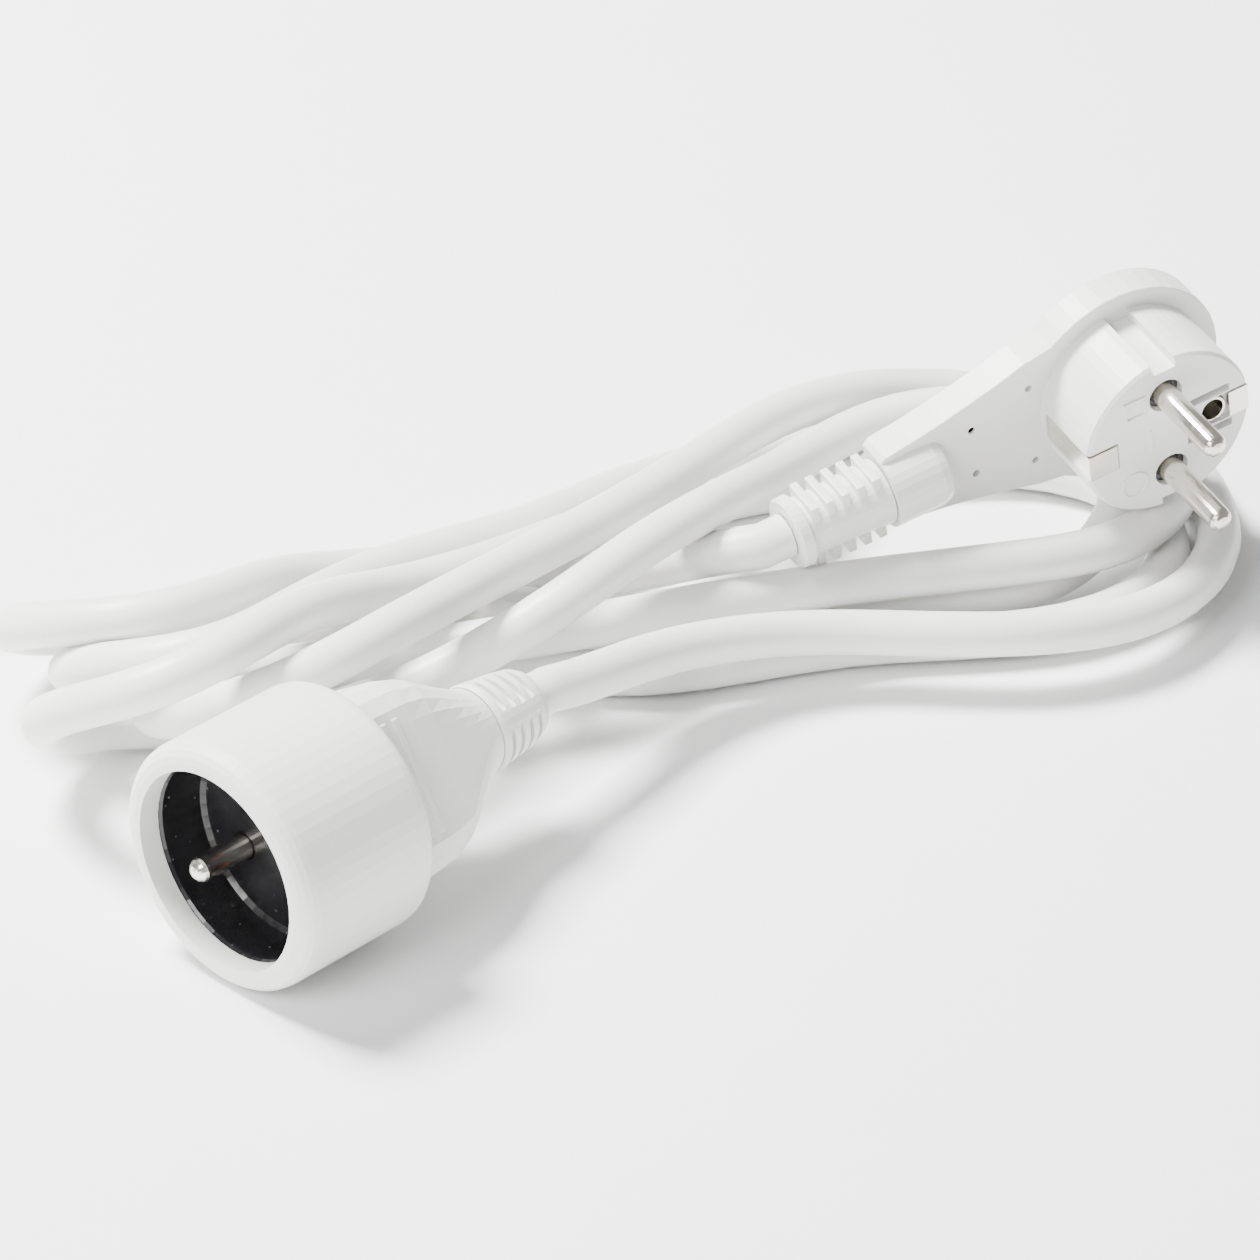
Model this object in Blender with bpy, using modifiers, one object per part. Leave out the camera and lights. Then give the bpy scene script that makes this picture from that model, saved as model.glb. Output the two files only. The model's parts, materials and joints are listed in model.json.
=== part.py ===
# Extension cord: one round mains cord with an earthed coupler socket at one
# end and an angled earthed plug at the other.
#
# Frame: origin on the floor under the middle of the socket, +X along the
# socket towards its cord, +Z up.  Lengths are in metres.

import math

import bmesh
import bpy
from mathutils import Matrix, Vector

MM = 0.001
GAP = 0.3 * MM
ROUND_SEGMENTS = 48
SMALL_SEGMENTS = 20

# ---- socket, in its own frame: +Z out of the opening, face at z = 0 ----
SOCKET_R = 23.5 * MM
SOCKET_LENGTH = 76.0 * MM
BARREL_LENGTH = 31.0 * MM
BARREL_FRONT_ROUND = 3.2 * MM
BARREL_REAR_ROUND = 2.6 * MM
MOUTH_R = 18.9 * MM
MOUTH_DEPTH = 4.3 * MM
SOCKET_ROLL = math.radians(-33.4)
EARTH_Y = 10.0 * MM
PIN_PITCH = 19.0 * MM
NECK_END = 62.0 * MM

INSERT_R = 19.9 * MM
INSERT_CAVITY_R = 20.2 * MM
INSERT_FRONT = 4.6 * MM
INSERT_CUP_R = 18.7 * MM
INSERT_FLOOR = 14.7 * MM
INSERT_FLOOR_THICKNESS = 2.5 * MM
INSERT_SKIRT_R = 18.2 * MM
INSERT_REAR = 28.0 * MM
INSERT_CAVITY_REAR = 28.3 * MM
APERTURE_R = 2.75 * MM

SHUTTER_FRONT = 17.5 * MM
SHUTTER_THICKNESS = 1.4 * MM
SHUTTER_LOBE_R = 3.3 * MM
SHUTTER_HUB_R = 3.6 * MM
SHUTTER_BORE_R = 2.0 * MM
SPRING_FRONT = 19.4 * MM
SPRING_TURNS = 2.5
SPRING_R = 2.9 * MM
SPRING_WIRE_R = 0.22 * MM
SPRING_PITCH = 0.62 * MM

CARRIER_FRONT = 22.0 * MM
CARRIER_THICKNESS = 4.0 * MM
CARRIER_R = 17.9 * MM
POST_R = 1.7 * MM
POST_FRONT = 17.8 * MM

CONTACT_R = 3.1 * MM
CONTACT_BORE_R = 2.45 * MM
CONTACT_FRONT = 19.5 * MM
CONTACT_REAR = 30.5 * MM
CONTACT_SLIT = 0.8 * MM
EARTH_PIN_R = 2.4 * MM
EARTH_PIN_FRONT = 2.5 * MM
EARTH_PIN_REAR = 30.5 * MM

WIRE_SPACE_R = 12.9 * MM
CORE_R = 1.15 * MM
CORE_BUNDLE_R = 1.65 * MM
CORE_START = 31.0 * MM
CORE_END = 75.6 * MM

RELIEF_SLOTS = 4
RELIEF_SLOT_PITCH = 2.55 * MM
RELIEF_SLOT_WIDTH = 1.1 * MM
RELIEF_SLOT_DEPTH = 1.3 * MM

# ---- plug, in its own frame: +Z along the pins, +X along the arm ----
PLUG_HEIGHT = 36.0 * MM
PLUG_FACE_R = 17.9 * MM
PLUG_BODY_DEPTH = 17.0 * MM
HEAD_R = 21.5 * MM
HEAD_THICKNESS = 7.0 * MM
HEAD_ROUND = 2.2 * MM
ARM_END = 52.0 * MM
BOSS_R = 7.6 * MM
BOSS_START = 37.6 * MM
CORD_DEPTH = 18.5 * MM
PIN_R = 2.4 * MM
PIN_LENGTH = 18.5 * MM
PIN_REAR = 12.5 * MM
PIN_HOLE_R = 3.6 * MM
BRIDGE_FRONT = 2.0 * MM
BRIDGE_REAR = 8.5 * MM
BRIDGE_HALF_WIDTH = 4.0 * MM
BRIDGE_HALF_LENGTH = 13.3 * MM
EARTH_HOLE_X = -10.0 * MM
EARTH_HOLE_R = 3.1 * MM
SLEEVE_R = 2.8 * MM
SLEEVE_BORE_R = 2.35 * MM
SLEEVE_FRONT = 0.5 * MM
SLEEVE_REAR = 12.4 * MM
STRAP_HALF_WIDTH = 2.9 * MM
STRAP_THICKNESS = 0.9 * MM
STRAP_LIP_INNER = 11.3 * MM
STRAP_LIP_INNER_EARTH = 13.3 * MM
STRAP_SIDE = 16.6 * MM
STRAP_BACK = 13.9 * MM
PLUG_RELIEF_END = 72.3 * MM
PLUG_RELIEF_RIBS = 5
PLUG_RELIEF_PITCH = 3.3 * MM

# ---- cord ----
CORD_R = 4.3 * MM
CORE_BORE_R = 3.4 * MM
CORD_LEAD = 5.0 * MM
CORD_LONGEST_STEP = 42.0 * MM
CORD_LARGEST_TURN = math.radians(34.0)
HANK_ORIGIN = (95.0 * MM, 29.7 * MM, 0.0)
HANK_TURN = math.radians(-45.83)

WHITE = (0.84, 0.85, 0.86, 1.0)


# --------------------------------------------------------------------------
# general helpers
# --------------------------------------------------------------------------
for leftover in list(bpy.data.objects):
    bpy.data.objects.remove(leftover, do_unlink=True)

parts = bpy.data.collections.new("extension_cord")
cutters = bpy.data.collections.new("cutters")
bpy.context.scene.collection.children.link(parts)
bpy.context.scene.collection.children.link(cutters)


def material(name, colour, roughness, metallic=0.0):
    made = bpy.data.materials.new(name)
    made.use_nodes = True
    shader = made.node_tree.nodes["Principled BSDF"]
    shader.inputs["Base Color"].default_value = colour
    shader.inputs["Roughness"].default_value = roughness
    shader.inputs["Metallic"].default_value = metallic
    return made


PVC = material("white_pvc", WHITE, 0.45)
BLACK = material("black_thermoplastic", (0.012, 0.012, 0.014, 1.0), 0.25)
RED = material("red_thermoplastic", (0.45, 0.02, 0.015, 1.0), 0.4)
GREY = material("grey_thermoplastic", (0.10, 0.10, 0.11, 1.0), 0.5)
NICKEL = material("nickel_plated_brass", (0.78, 0.74, 0.66, 1.0), 0.22, 1.0)
BRASS = material("brass", (0.78, 0.57, 0.27, 1.0), 0.3, 1.0)
STEEL = material("spring_steel", (0.6, 0.6, 0.62, 1.0), 0.3, 1.0)
BROWN = material("brown_insulation", (0.13, 0.05, 0.02, 1.0), 0.5)
BLUE = material("blue_insulation", (0.02, 0.12, 0.45, 1.0), 0.5)
GREEN = material("green_yellow_insulation", (0.12, 0.42, 0.06, 1.0), 0.5)


def add_object(name, mesh, group, parent=None, mat=None):
    made = bpy.data.objects.new(name, mesh)
    group.objects.link(made)
    made.parent = parent
    if mat is not None:
        mesh.materials.append(mat)
    if group is cutters:
        made.hide_render = True
        made.display_type = 'WIRE'
    return made


def from_bmesh(name, bm, group=cutters, parent=None, mat=None):
    bmesh.ops.recalc_face_normals(bm, faces=bm.faces)
    mesh = bpy.data.meshes.new(name)
    bm.to_mesh(mesh)
    bm.free()
    return add_object(name, mesh, group, parent, mat)


def cylinder(name, radius, z_low, z_high, x=0.0, y=0.0, segments=SMALL_SEGMENTS, parent=None):
    bm = bmesh.new()
    bmesh.ops.create_cone(
        bm, cap_ends=True, segments=segments, radius1=radius,
        radius2=radius, depth=z_high - z_low)
    bmesh.ops.translate(bm, verts=bm.verts, vec=(x, y, 0.5 * (z_low + z_high)))
    return from_bmesh(name, bm, parent=parent)


def x_cylinder(name, radius, x_low, x_high, y, z, segments=SMALL_SEGMENTS, parent=None):
    bm = bmesh.new()
    bmesh.ops.create_cone(
        bm, cap_ends=True, segments=segments, radius1=radius,
        radius2=radius, depth=x_high - x_low)
    bmesh.ops.rotate(bm, verts=bm.verts, matrix=Matrix.Rotation(math.pi / 2.0, 3, 'Y'))
    bmesh.ops.translate(bm, verts=bm.verts, vec=(0.5 * (x_low + x_high), y, z))
    return from_bmesh(name, bm, parent=parent)


def box(name, x_range, y_range, z_range, parent=None, bevel=0.0):
    bm = bmesh.new()
    bmesh.ops.create_cube(bm, size=1.0)
    size = (x_range[1] - x_range[0], y_range[1] - y_range[0], z_range[1] - z_range[0])
    centre = (0.5 * sum(x_range), 0.5 * sum(y_range), 0.5 * sum(z_range))
    bmesh.ops.scale(bm, verts=bm.verts, vec=size)
    bmesh.ops.translate(bm, verts=bm.verts, vec=centre)
    if bevel > 0.0:
        bmesh.ops.bevel(
            bm, geom=list(bm.edges), offset=bevel, segments=2, profile=0.5, affect='EDGES')
    return from_bmesh(name, bm, parent=parent)


def turned(name, profile, group=cutters, parent=None, mat=None, segments=ROUND_SEGMENTS, closed=False):
    """Profile of (radius, z) points down the outer side, turned about Z."""
    bm = bmesh.new()
    ring = [bm.verts.new((radius, 0.0, z)) for radius, z in profile]
    for first, second in zip(ring, ring[1:]):
        bm.edges.new((first, second))
    if closed:
        bm.edges.new((ring[-1], ring[0]))
    mesh = bpy.data.meshes.new(name)
    bm.to_mesh(mesh)
    bm.free()
    made = add_object(name, mesh, group, parent, mat)
    screw = made.modifiers.new("turn", 'SCREW')
    screw.axis = 'Z'
    screw.angle = math.tau
    screw.steps = segments
    screw.render_steps = segments
    screw.use_merge_vertices = True
    screw.merge_threshold = 0.00001
    return made


def rounded_corner(radius, z, size, quarter, steps=4):
    """Points around a convex corner of a turned profile, quarter is 'front' or 'rear'."""
    points = []
    for step in range(steps + 1):
        angle = 0.5 * math.pi * step / steps
        if quarter == 'front':
            points.append((radius - size + size * math.sin(angle), z - size + size * math.cos(angle)))
        else:
            points.append((radius - size + size * math.cos(angle), z + size - size * math.sin(angle)))
    return points


def bake(obj, name=None):
    """The object's evaluated mesh becomes its own mesh."""
    bpy.context.view_layer.update()
    graph = bpy.context.evaluated_depsgraph_get()
    mesh = bpy.data.meshes.new_from_object(obj.evaluated_get(graph))
    mesh.name = name or obj.name
    if obj.type == 'CURVE':
        bm = bmesh.new()
        bm.from_mesh(mesh)
        bmesh.ops.remove_doubles(bm, verts=bm.verts, dist=0.000001)
        bmesh.ops.recalc_face_normals(bm, faces=bm.faces)
        bm.to_mesh(mesh)
        bm.free()
        made = bpy.data.objects.new(obj.name + "_mesh", mesh)
        for group in obj.users_collection:
            group.objects.link(made)
        made.parent = obj.parent
        made.matrix_local = obj.matrix_local
        made.hide_render = obj.hide_render
        made.display_type = obj.display_type
        wanted = obj.name
        bpy.data.objects.remove(obj, do_unlink=True)
        made.name = wanted
        return made
    obj.modifiers.clear()
    obj.data = mesh
    return obj


def combine(obj, tools, operation='DIFFERENCE'):
    for tool in tools:
        step = obj.modifiers.new(tool.name, 'BOOLEAN')
        step.operation = operation
        step.solver = 'EXACT'
        step.object = tool
    return obj


def smooth(obj, degrees=35.0):
    bake(obj)
    obj.data.shade_smooth()
    obj.data.set_sharp_from_angle(angle=math.radians(degrees))
    return obj


def frame(name, origin, x_axis, y_axis, z_axis):
    empty = bpy.data.objects.new(name, None)
    parts.objects.link(empty)
    turn = Matrix((x_axis, y_axis, z_axis)).transposed().to_4x4()
    empty.matrix_world = Matrix.Translation(origin) @ turn
    return empty


def smooth_curve(points, count_per_span):
    """Natural cubic through the points, read at even steps of each span."""
    knots = [Vector(point) for point in points]
    spans = [(second - first).length for first, second in zip(knots, knots[1:])]
    size = len(knots)
    upper = [0.0] * size
    known = [Vector((0.0, 0.0, 0.0)) for _ in range(size)]
    for i in range(1, size - 1):
        before = spans[i - 1]
        after = spans[i]
        slope = (knots[i + 1] - knots[i]) / after - (knots[i] - knots[i - 1]) / before
        pivot = 2.0 * (before + after) - before * upper[i - 1]
        upper[i] = after / pivot
        known[i] = (6.0 * slope - before * known[i - 1]) / pivot
    second = [Vector((0.0, 0.0, 0.0)) for _ in range(size)]
    for i in range(size - 2, 0, -1):
        second[i] = known[i] - upper[i] * second[i + 1]
    curve = []
    for i in range(size - 1):
        span = spans[i]
        steps = count_per_span(span)
        for step in range(steps):
            t = step / steps
            a = 1.0 - t
            bend = ((a ** 3 - a) * second[i] + (t ** 3 - t) * second[i + 1]) * span * span / 6.0
            curve.append(a * knots[i] + t * knots[i + 1] + bend)
    curve.append(knots[-1].copy())
    return curve


def tube(name, points, radius, group=parts, parent=None, mat=None, resolution=2):
    data = bpy.data.curves.new(name, 'CURVE')
    data.dimensions = '3D'
    data.bevel_depth = radius
    data.bevel_resolution = resolution
    data.use_fill_caps = True
    data.twist_mode = 'MINIMUM'
    line = data.splines.new('POLY')
    line.points.add(len(points) - 1)
    for place, point in zip(line.points, points):
        place.co = (*point, 1.0)
    made = bpy.data.objects.new(name, data)
    group.objects.link(made)
    made.parent = parent
    if mat is not None:
        data.materials.append(mat)
    if group is cutters:
        made.hide_render = True
        made.display_type = 'WIRE'
    return bake(made)


def plate(name, outline, z_low, z_high, parent=None, group=cutters, mat=None):
    """A flat outline of (x, y) points, extruded from z_low to z_high."""
    data = bpy.data.curves.new(name, 'CURVE')
    data.dimensions = '2D'
    data.fill_mode = 'BOTH'
    data.extrude = 0.5 * (z_high - z_low)
    line = data.splines.new('POLY')
    line.points.add(len(outline) - 1)
    for place, point in zip(line.points, outline):
        place.co = (point[0], point[1], 0.0, 1.0)
    line.use_cyclic_u = True
    made = bpy.data.objects.new(name, data)
    group.objects.link(made)
    made.parent = parent
    made.location = (0.0, 0.0, 0.5 * (z_low + z_high))
    if mat is not None:
        data.materials.append(mat)
    if group is cutters:
        made.hide_render = True
        made.display_type = 'WIRE'
    return bake(made)


# --------------------------------------------------------------------------
# socket
# --------------------------------------------------------------------------
roll_cos = math.cos(SOCKET_ROLL)
roll_sin = math.sin(SOCKET_ROLL)
socket = frame(
    "socket_frame", (-0.5 * SOCKET_LENGTH, 0.0, SOCKET_R),
    (0.0, -roll_sin, roll_cos), (0.0, roll_cos, roll_sin), (-1.0, 0.0, 0.0))


def neck_ring(half_x, half_y, corner, z, count=40):
    """Rounded rectangle read at even turns about the socket's axis."""
    ring = []
    for step in range(count):
        angle = math.tau * (step + 0.5) / count
        direction = Vector((math.cos(angle), math.sin(angle)))
        low = 0.0
        high = half_x + half_y
        for _ in range(40):
            middle = 0.5 * (low + high)
            over_x = max(abs(direction.x) * middle - (half_x - corner), 0.0)
            over_y = max(abs(direction.y) * middle - (half_y - corner), 0.0)
            if math.hypot(over_x, over_y) > corner:
                high = middle
            else:
                low = middle
        ring.append((direction.x * low, direction.y * low, z))
    return ring


def neck_body(name, sections):
    """Loft from the flat-sided neck to the round cord end."""
    bm = bmesh.new()
    rings = [[bm.verts.new(point) for point in neck_ring(*section)] for section in sections]
    for first, second in zip(rings, rings[1:]):
        for i in range(len(first)):
            j = (i + 1) % len(first)
            bm.faces.new((first[i], first[j], second[j], second[i]))
    bm.faces.new(list(reversed(rings[0])))
    bm.faces.new(rings[-1])
    return from_bmesh(name, bm, parent=socket)


NECK_SECTIONS = (
    (18.0 * MM, 14.6 * MM, 7.0 * MM, -27.0 * MM),
    (18.0 * MM, 14.6 * MM, 7.0 * MM, -35.0 * MM),
    (17.4 * MM, 14.4 * MM, 7.0 * MM, -41.0 * MM),
    (15.8 * MM, 13.6 * MM, 7.0 * MM, -46.0 * MM),
    (13.2 * MM, 12.0 * MM, 7.5 * MM, -51.0 * MM),
    (10.6 * MM, 10.2 * MM, 8.0 * MM, -56.0 * MM),
    (8.9 * MM, 8.8 * MM, 8.4 * MM, -60.0 * MM),
    (8.3 * MM, 8.3 * MM, 8.2 * MM, -NECK_END),
)
GRIP_DEPTHS = (34.5 * MM, 37.2 * MM)
GRIP_HALF_LENGTH = 10.7 * MM
GRIP_HALF_WIDTH = 0.55 * MM
GRIP_PROUD = 0.5 * MM

shell_profile = [(0.0, 0.0)]
shell_profile += rounded_corner(SOCKET_R, 0.0, BARREL_FRONT_ROUND, 'front')
shell_profile += rounded_corner(SOCKET_R, -BARREL_LENGTH, BARREL_REAR_ROUND, 'rear')
shell_profile += [(0.0, -BARREL_LENGTH)]
shell = turned("socket_shell", shell_profile, parts, socket, PVC, segments=64)
grips = [
    box("grip_%d" % number, (-GRIP_HALF_LENGTH, GRIP_HALF_LENGTH),
        (-NECK_SECTIONS[0][1] - GRIP_PROUD, -NECK_SECTIONS[0][1] + 2.0 * MM),
        (-depth - GRIP_HALF_WIDTH, -depth + GRIP_HALF_WIDTH), socket, 0.2 * MM)
    for number, depth in enumerate(GRIP_DEPTHS, start=1)]
combine(shell, [neck_body("neck", NECK_SECTIONS)] + grips, 'UNION')
shell_hollow = turned("shell_hollow", [
    (0.0, 1.0 * MM),
    (MOUTH_R, 1.0 * MM),
    (MOUTH_R, -MOUTH_DEPTH),
    (INSERT_CAVITY_R, -MOUTH_DEPTH),
    (INSERT_CAVITY_R, -INSERT_CAVITY_REAR),
    (WIRE_SPACE_R, -INSERT_CAVITY_REAR),
    (WIRE_SPACE_R, -36.0 * MM),
    (10.0 * MM, -45.0 * MM),
    (CORE_BORE_R, -55.0 * MM),
    (CORE_BORE_R, -NECK_END - 1.0 * MM),
    (0.0, -NECK_END - 1.0 * MM),
], parent=socket)
combine(shell, [shell_hollow])
smooth(shell)

relief_profile = [
    (CORE_BORE_R, -NECK_END - GAP),
    (8.4 * MM, -NECK_END - GAP),
    (8.6 * MM, -NECK_END - 1.2 * MM),
    (8.2 * MM, -66.0 * MM),
    (7.6 * MM, -71.0 * MM),
    (7.0 * MM, -74.0 * MM),
    (6.2 * MM, -75.4 * MM),
    (5.4 * MM, -SOCKET_LENGTH),
    (CORE_BORE_R, -SOCKET_LENGTH),
]
relief = turned("socket_strain_relief", relief_profile, parts, socket, PVC, segments=40, closed=True)
slots = []
for row in range(RELIEF_SLOTS):
    depth = NECK_END + 2.6 * MM + row * RELIEF_SLOT_PITCH
    for side, turn in enumerate((0.0, 90.0, 180.0, 270.0)):
        slot = box(
            "relief_slot_%d_%d" % (row + 1, side + 1),
            (6.9 * MM - row * 0.3 * MM, 12.0 * MM), (-4.6 * MM, 4.6 * MM),
            (-depth - 0.5 * RELIEF_SLOT_WIDTH, -depth + 0.5 * RELIEF_SLOT_WIDTH), socket)
        slot.rotation_euler = (0.0, 0.0, math.radians(turn + 45.0))
        slots.append(slot)
combine(relief, slots)
smooth(relief)

insert = turned("socket_insert", [
    (INSERT_CUP_R, -INSERT_FRONT - 0.5 * MM),
    (INSERT_CUP_R + 0.4 * MM, -INSERT_FRONT),
    (INSERT_R, -INSERT_FRONT),
    (INSERT_R, -INSERT_REAR),
    (INSERT_SKIRT_R, -INSERT_REAR),
    (INSERT_SKIRT_R, -INSERT_FLOOR - INSERT_FLOOR_THICKNESS),
    (0.0, -INSERT_FLOOR - INSERT_FLOOR_THICKNESS),
    (0.0, -INSERT_FLOOR),
    (INSERT_CUP_R - 0.8 * MM, -INSERT_FLOOR),
    (INSERT_CUP_R, -INSERT_FLOOR + 0.8 * MM),
], parts, socket, BLACK, closed=True)
combine(insert, [
    cylinder("line_aperture", APERTURE_R, -20.0 * MM, -12.0 * MM, 0.5 * PIN_PITCH, 0.0, parent=socket),
    cylinder("neutral_aperture", APERTURE_R, -20.0 * MM, -12.0 * MM, -0.5 * PIN_PITCH, 0.0, parent=socket),
    cylinder("earth_pin_hole", EARTH_PIN_R + GAP, -20.0 * MM, -12.0 * MM, 0.0, EARTH_Y, parent=socket),
])
smooth(insert)

shutter_axis = bpy.data.objects.new("shutter_axis", None)
parts.objects.link(shutter_axis)
shutter_axis.parent = socket
shutter_axis.location = (0.0, 0.0, -SHUTTER_FRONT)


def lobed_outline(hub, lobe, reach, steps=14):
    """Outline of a hub with one round lobe on each side of it."""
    points = []
    rise = math.asin((hub - lobe) / reach)
    for side in (0.0, math.pi):
        for step in range(steps + 1):
            angle = (-0.5 * math.pi + rise) + (math.pi - 2.0 * rise) * step / steps
            x = reach + lobe * math.cos(angle)
            y = lobe * math.sin(angle)
            points.append((x * math.cos(side) - y * math.sin(side), x * math.sin(side) + y * math.cos(side)))
        for step in range(1, 4):
            angle = side + 0.5 * math.pi - rise + 2.0 * rise * step / 4.0
            points.append((hub * math.cos(angle), hub * math.sin(angle)))
    return points


shutter = plate(
    "shutter", lobed_outline(SHUTTER_HUB_R, SHUTTER_LOBE_R, 0.5 * PIN_PITCH),
    -SHUTTER_THICKNESS, 0.0, shutter_axis, parts, RED)
combine(shutter, [cylinder("shutter_bore", SHUTTER_BORE_R, -4.0 * MM, 2.0 * MM, parent=shutter_axis)])
smooth(shutter)

spring_steps = 14
spring_points = []
for step in range(int(SPRING_TURNS * spring_steps) + 1):
    angle = math.tau * step / spring_steps
    spring_points.append((
        SPRING_R * math.cos(angle), SPRING_R * math.sin(angle),
        -SPRING_FRONT - 0.2 * MM - SPRING_PITCH * step / spring_steps))
smooth(tube("shutter_spring", spring_points, SPRING_WIRE_R, parts, socket, STEEL, resolution=1))

carrier = turned("contact_carrier", [
    (0.0, -POST_FRONT),
    (POST_R, -POST_FRONT),
    (POST_R, -CARRIER_FRONT),
    (CARRIER_R, -CARRIER_FRONT),
    (CARRIER_R, -CARRIER_FRONT - CARRIER_THICKNESS),
    (0.0, -CARRIER_FRONT - CARRIER_THICKNESS),
], parts, socket, GREY)
combine(carrier, [
    cylinder("line_seat", CONTACT_R + GAP, -30.0 * MM, -21.0 * MM, 0.5 * PIN_PITCH, 0.0, parent=socket),
    cylinder("neutral_seat", CONTACT_R + GAP, -30.0 * MM, -21.0 * MM, -0.5 * PIN_PITCH, 0.0, parent=socket),
    cylinder("earth_seat", EARTH_PIN_R + GAP, -30.0 * MM, -21.0 * MM, 0.0, EARTH_Y, parent=socket),
])
smooth(carrier)


def contact(name, x):
    """Split spring sleeve with a solid crimp end."""
    body = turned(name, [
        (CONTACT_BORE_R, -CONTACT_FRONT),
        (CONTACT_R, -CONTACT_FRONT),
        (CONTACT_R, -27.0 * MM),
        (1.9 * MM, -27.5 * MM),
        (1.9 * MM, -CONTACT_REAR),
        (0.0, -CONTACT_REAR),
        (0.0, -26.0 * MM),
        (CONTACT_BORE_R, -26.0 * MM),
    ], parts, socket, BRASS, segments=20, closed=True)
    body.location = (x, 0.0, 0.0)
    combine(body, [box(
        name + "_slit", (x - 0.5 * CONTACT_SLIT, x + 0.5 * CONTACT_SLIT), (-5.0 * MM, 5.0 * MM),
        (-25.0 * MM, -19.0 * MM), socket)])
    smooth(body)


contact("line_contact", 0.5 * PIN_PITCH)
contact("neutral_contact", -0.5 * PIN_PITCH)

earth_profile = [(0.0, -EARTH_PIN_FRONT)]
for step in range(1, 7):
    angle = 0.5 * math.pi * step / 6.0
    earth_profile.append((
        EARTH_PIN_R * math.sin(angle), -EARTH_PIN_FRONT - EARTH_PIN_R * (1.0 - math.cos(angle))))
earth_profile += [(EARTH_PIN_R, -EARTH_PIN_REAR), (0.0, -EARTH_PIN_REAR)]
earth_pin = turned("earth_pin", earth_profile, parts, socket, NICKEL, segments=24)
earth_pin.location = (0.0, EARTH_Y, 0.0)
smooth(earth_pin)


def bundle_offset(number):
    angle = 0.5 * math.pi + math.tau * number / 3.0
    return CORE_BUNDLE_R * math.cos(angle), CORE_BUNDLE_R * math.sin(angle)


def socket_core(name, start_x, start_y, number, mat):
    end_x, end_y = bundle_offset(number)
    route = (
        (start_x, start_y, -CORE_START),
        (start_x, start_y, -CORE_START - 2.0 * MM),
        (0.55 * start_x + 0.45 * end_x, 0.55 * start_y + 0.45 * end_y, -41.0 * MM),
        (end_x, end_y, -53.0 * MM),
        (end_x, end_y, -64.0 * MM),
        (end_x, end_y, -CORE_END),
    )
    smooth(tube(name, smooth_curve(route, lambda span: 3), CORE_R, parts, socket, mat))


socket_core("socket_core_line", 0.5 * PIN_PITCH, 0.0, 2, BROWN)
socket_core("socket_core_earth", 0.0, EARTH_Y, 0, GREEN)
socket_core("socket_core_neutral", -0.5 * PIN_PITCH, 0.0, 1, BLUE)

# --------------------------------------------------------------------------
# plug
# --------------------------------------------------------------------------
pin_direction = Vector((-0.290, -0.947, -0.136)).normalized()
arm_direction = Vector((-0.926, 0.3135, -0.208))
arm_direction = (arm_direction - arm_direction.dot(pin_direction) * pin_direction).normalized()
plug = frame(
    "plug_frame", (174.3 * MM, -34.2 * MM, PLUG_HEIGHT),
    arm_direction, pin_direction.cross(arm_direction), pin_direction)

ARM_FLANK = (
    (14.0 * MM, 16.6 * MM), (20.0 * MM, 15.6 * MM), (26.0 * MM, 13.7 * MM),
    (32.0 * MM, 12.2 * MM), (38.0 * MM, 10.8 * MM), (45.0 * MM, 9.5 * MM), (51.0 * MM, 8.6 * MM),
    (ARM_END, 7.6 * MM))


def head_outline():
    points = list(ARM_FLANK)
    first = math.atan2(ARM_FLANK[0][1], ARM_FLANK[0][0])
    steps = 30
    for step in range(1, steps):
        angle = first + (math.tau - 2.0 * first) * step / steps
        points.append((HEAD_R * math.cos(angle), HEAD_R * math.sin(angle)))
    points = list(reversed(ARM_FLANK)) + points[len(ARM_FLANK):]
    points += [(x, -y) for x, y in ARM_FLANK]
    return points


back = PLUG_BODY_DEPTH + HEAD_THICKNESS
body = plate("plug_body", head_outline(), -back, -PLUG_BODY_DEPTH, plug, parts, PVC)
rounding = body.modifiers.new("rounded_edges", 'BEVEL')
rounding.width = HEAD_ROUND
rounding.segments = 3
rounding.limit_method = 'ANGLE'
rounding.angle_limit = math.radians(50.0)
bake(body)

face_drum = turned("face_drum", [
    (0.0, 0.0),
    (PLUG_FACE_R - 0.6 * MM, 0.0),
    (PLUG_FACE_R, -0.6 * MM),
    (PLUG_FACE_R, -PLUG_BODY_DEPTH - 2.0 * MM),
    (0.0, -PLUG_BODY_DEPTH - 2.0 * MM),
], parent=plug, segments=56)
boss_profile = [(0.0, 0.0)]
for step in range(1, 5):
    angle = 0.5 * math.pi * step / 4.0
    boss_profile.append((BOSS_R * math.sin(angle), -0.55 * BOSS_R * (1.0 - math.cos(angle))))
boss_profile += [(BOSS_R, BOSS_START - ARM_END), (0.0, BOSS_START - ARM_END)]
boss = turned("cord_boss", boss_profile, parent=plug, segments=32)
boss.location = (BOSS_START, 0.0, -CORD_DEPTH)
boss.rotation_euler = (0.0, -0.5 * math.pi, 0.0)

mark_ring = turned("round_mark", [
    (2.5 * MM, 0.35 * MM), (3.0 * MM, 0.35 * MM), (3.0 * MM, -1.0 * MM), (2.5 * MM, -1.0 * MM),
], parent=plug, segments=24, closed=True)
mark_ring.location = (8.2 * MM, 9.0 * MM, 0.0)
mark_square = box(
    "square_mark", (4.6 * MM, 9.2 * MM), (-11.9 * MM, -7.3 * MM), (-1.0 * MM, 0.35 * MM), plug)
mark_square_inner = box(
    "square_mark_inner", (5.1 * MM, 8.7 * MM), (-11.4 * MM, -7.8 * MM), (0.0, 1.0 * MM), plug)
mark_line = box("line_mark", (3.7 * MM, 4.2 * MM), (-2.6 * MM, 2.6 * MM), (-1.0 * MM, 0.3 * MM), plug)
combine(body, [face_drum, boss, mark_ring, mark_square, mark_line], 'UNION')

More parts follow.
